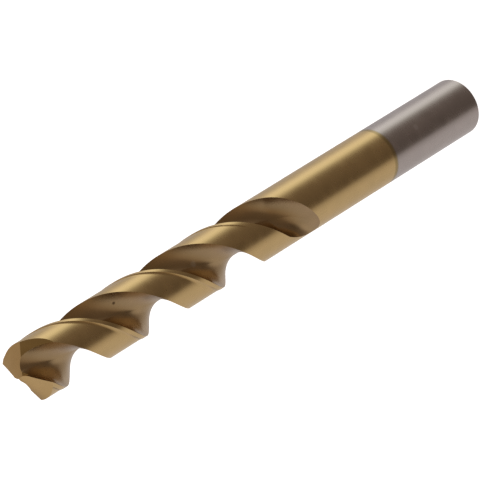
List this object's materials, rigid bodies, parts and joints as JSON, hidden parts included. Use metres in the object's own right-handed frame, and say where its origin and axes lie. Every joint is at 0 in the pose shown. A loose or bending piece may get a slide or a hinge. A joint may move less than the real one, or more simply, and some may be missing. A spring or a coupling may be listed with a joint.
{
  "type": "twist drill bit",
  "caption": "Coated straight-shank twist drill for metal with right-hand spiral flutes, a split point and a plain bare shank for a chuck.",
  "frame": {"origin": "centre of the flat shank end face", "axes": "+Z along the drill's axis towards the point, +X towards the outer corner of the first cutting lip"},
  "size_m": [0.013, 0.013, 0.151],
  "materials": {
    "coated_steel": "ground high-speed steel with a gold titanium nitride coating; the last 31 mm of the shank is bare grey steel"
  },
  "bodies": {
    "root": {"drill_bit": "coated_steel"}
  },
  "joints": []
}
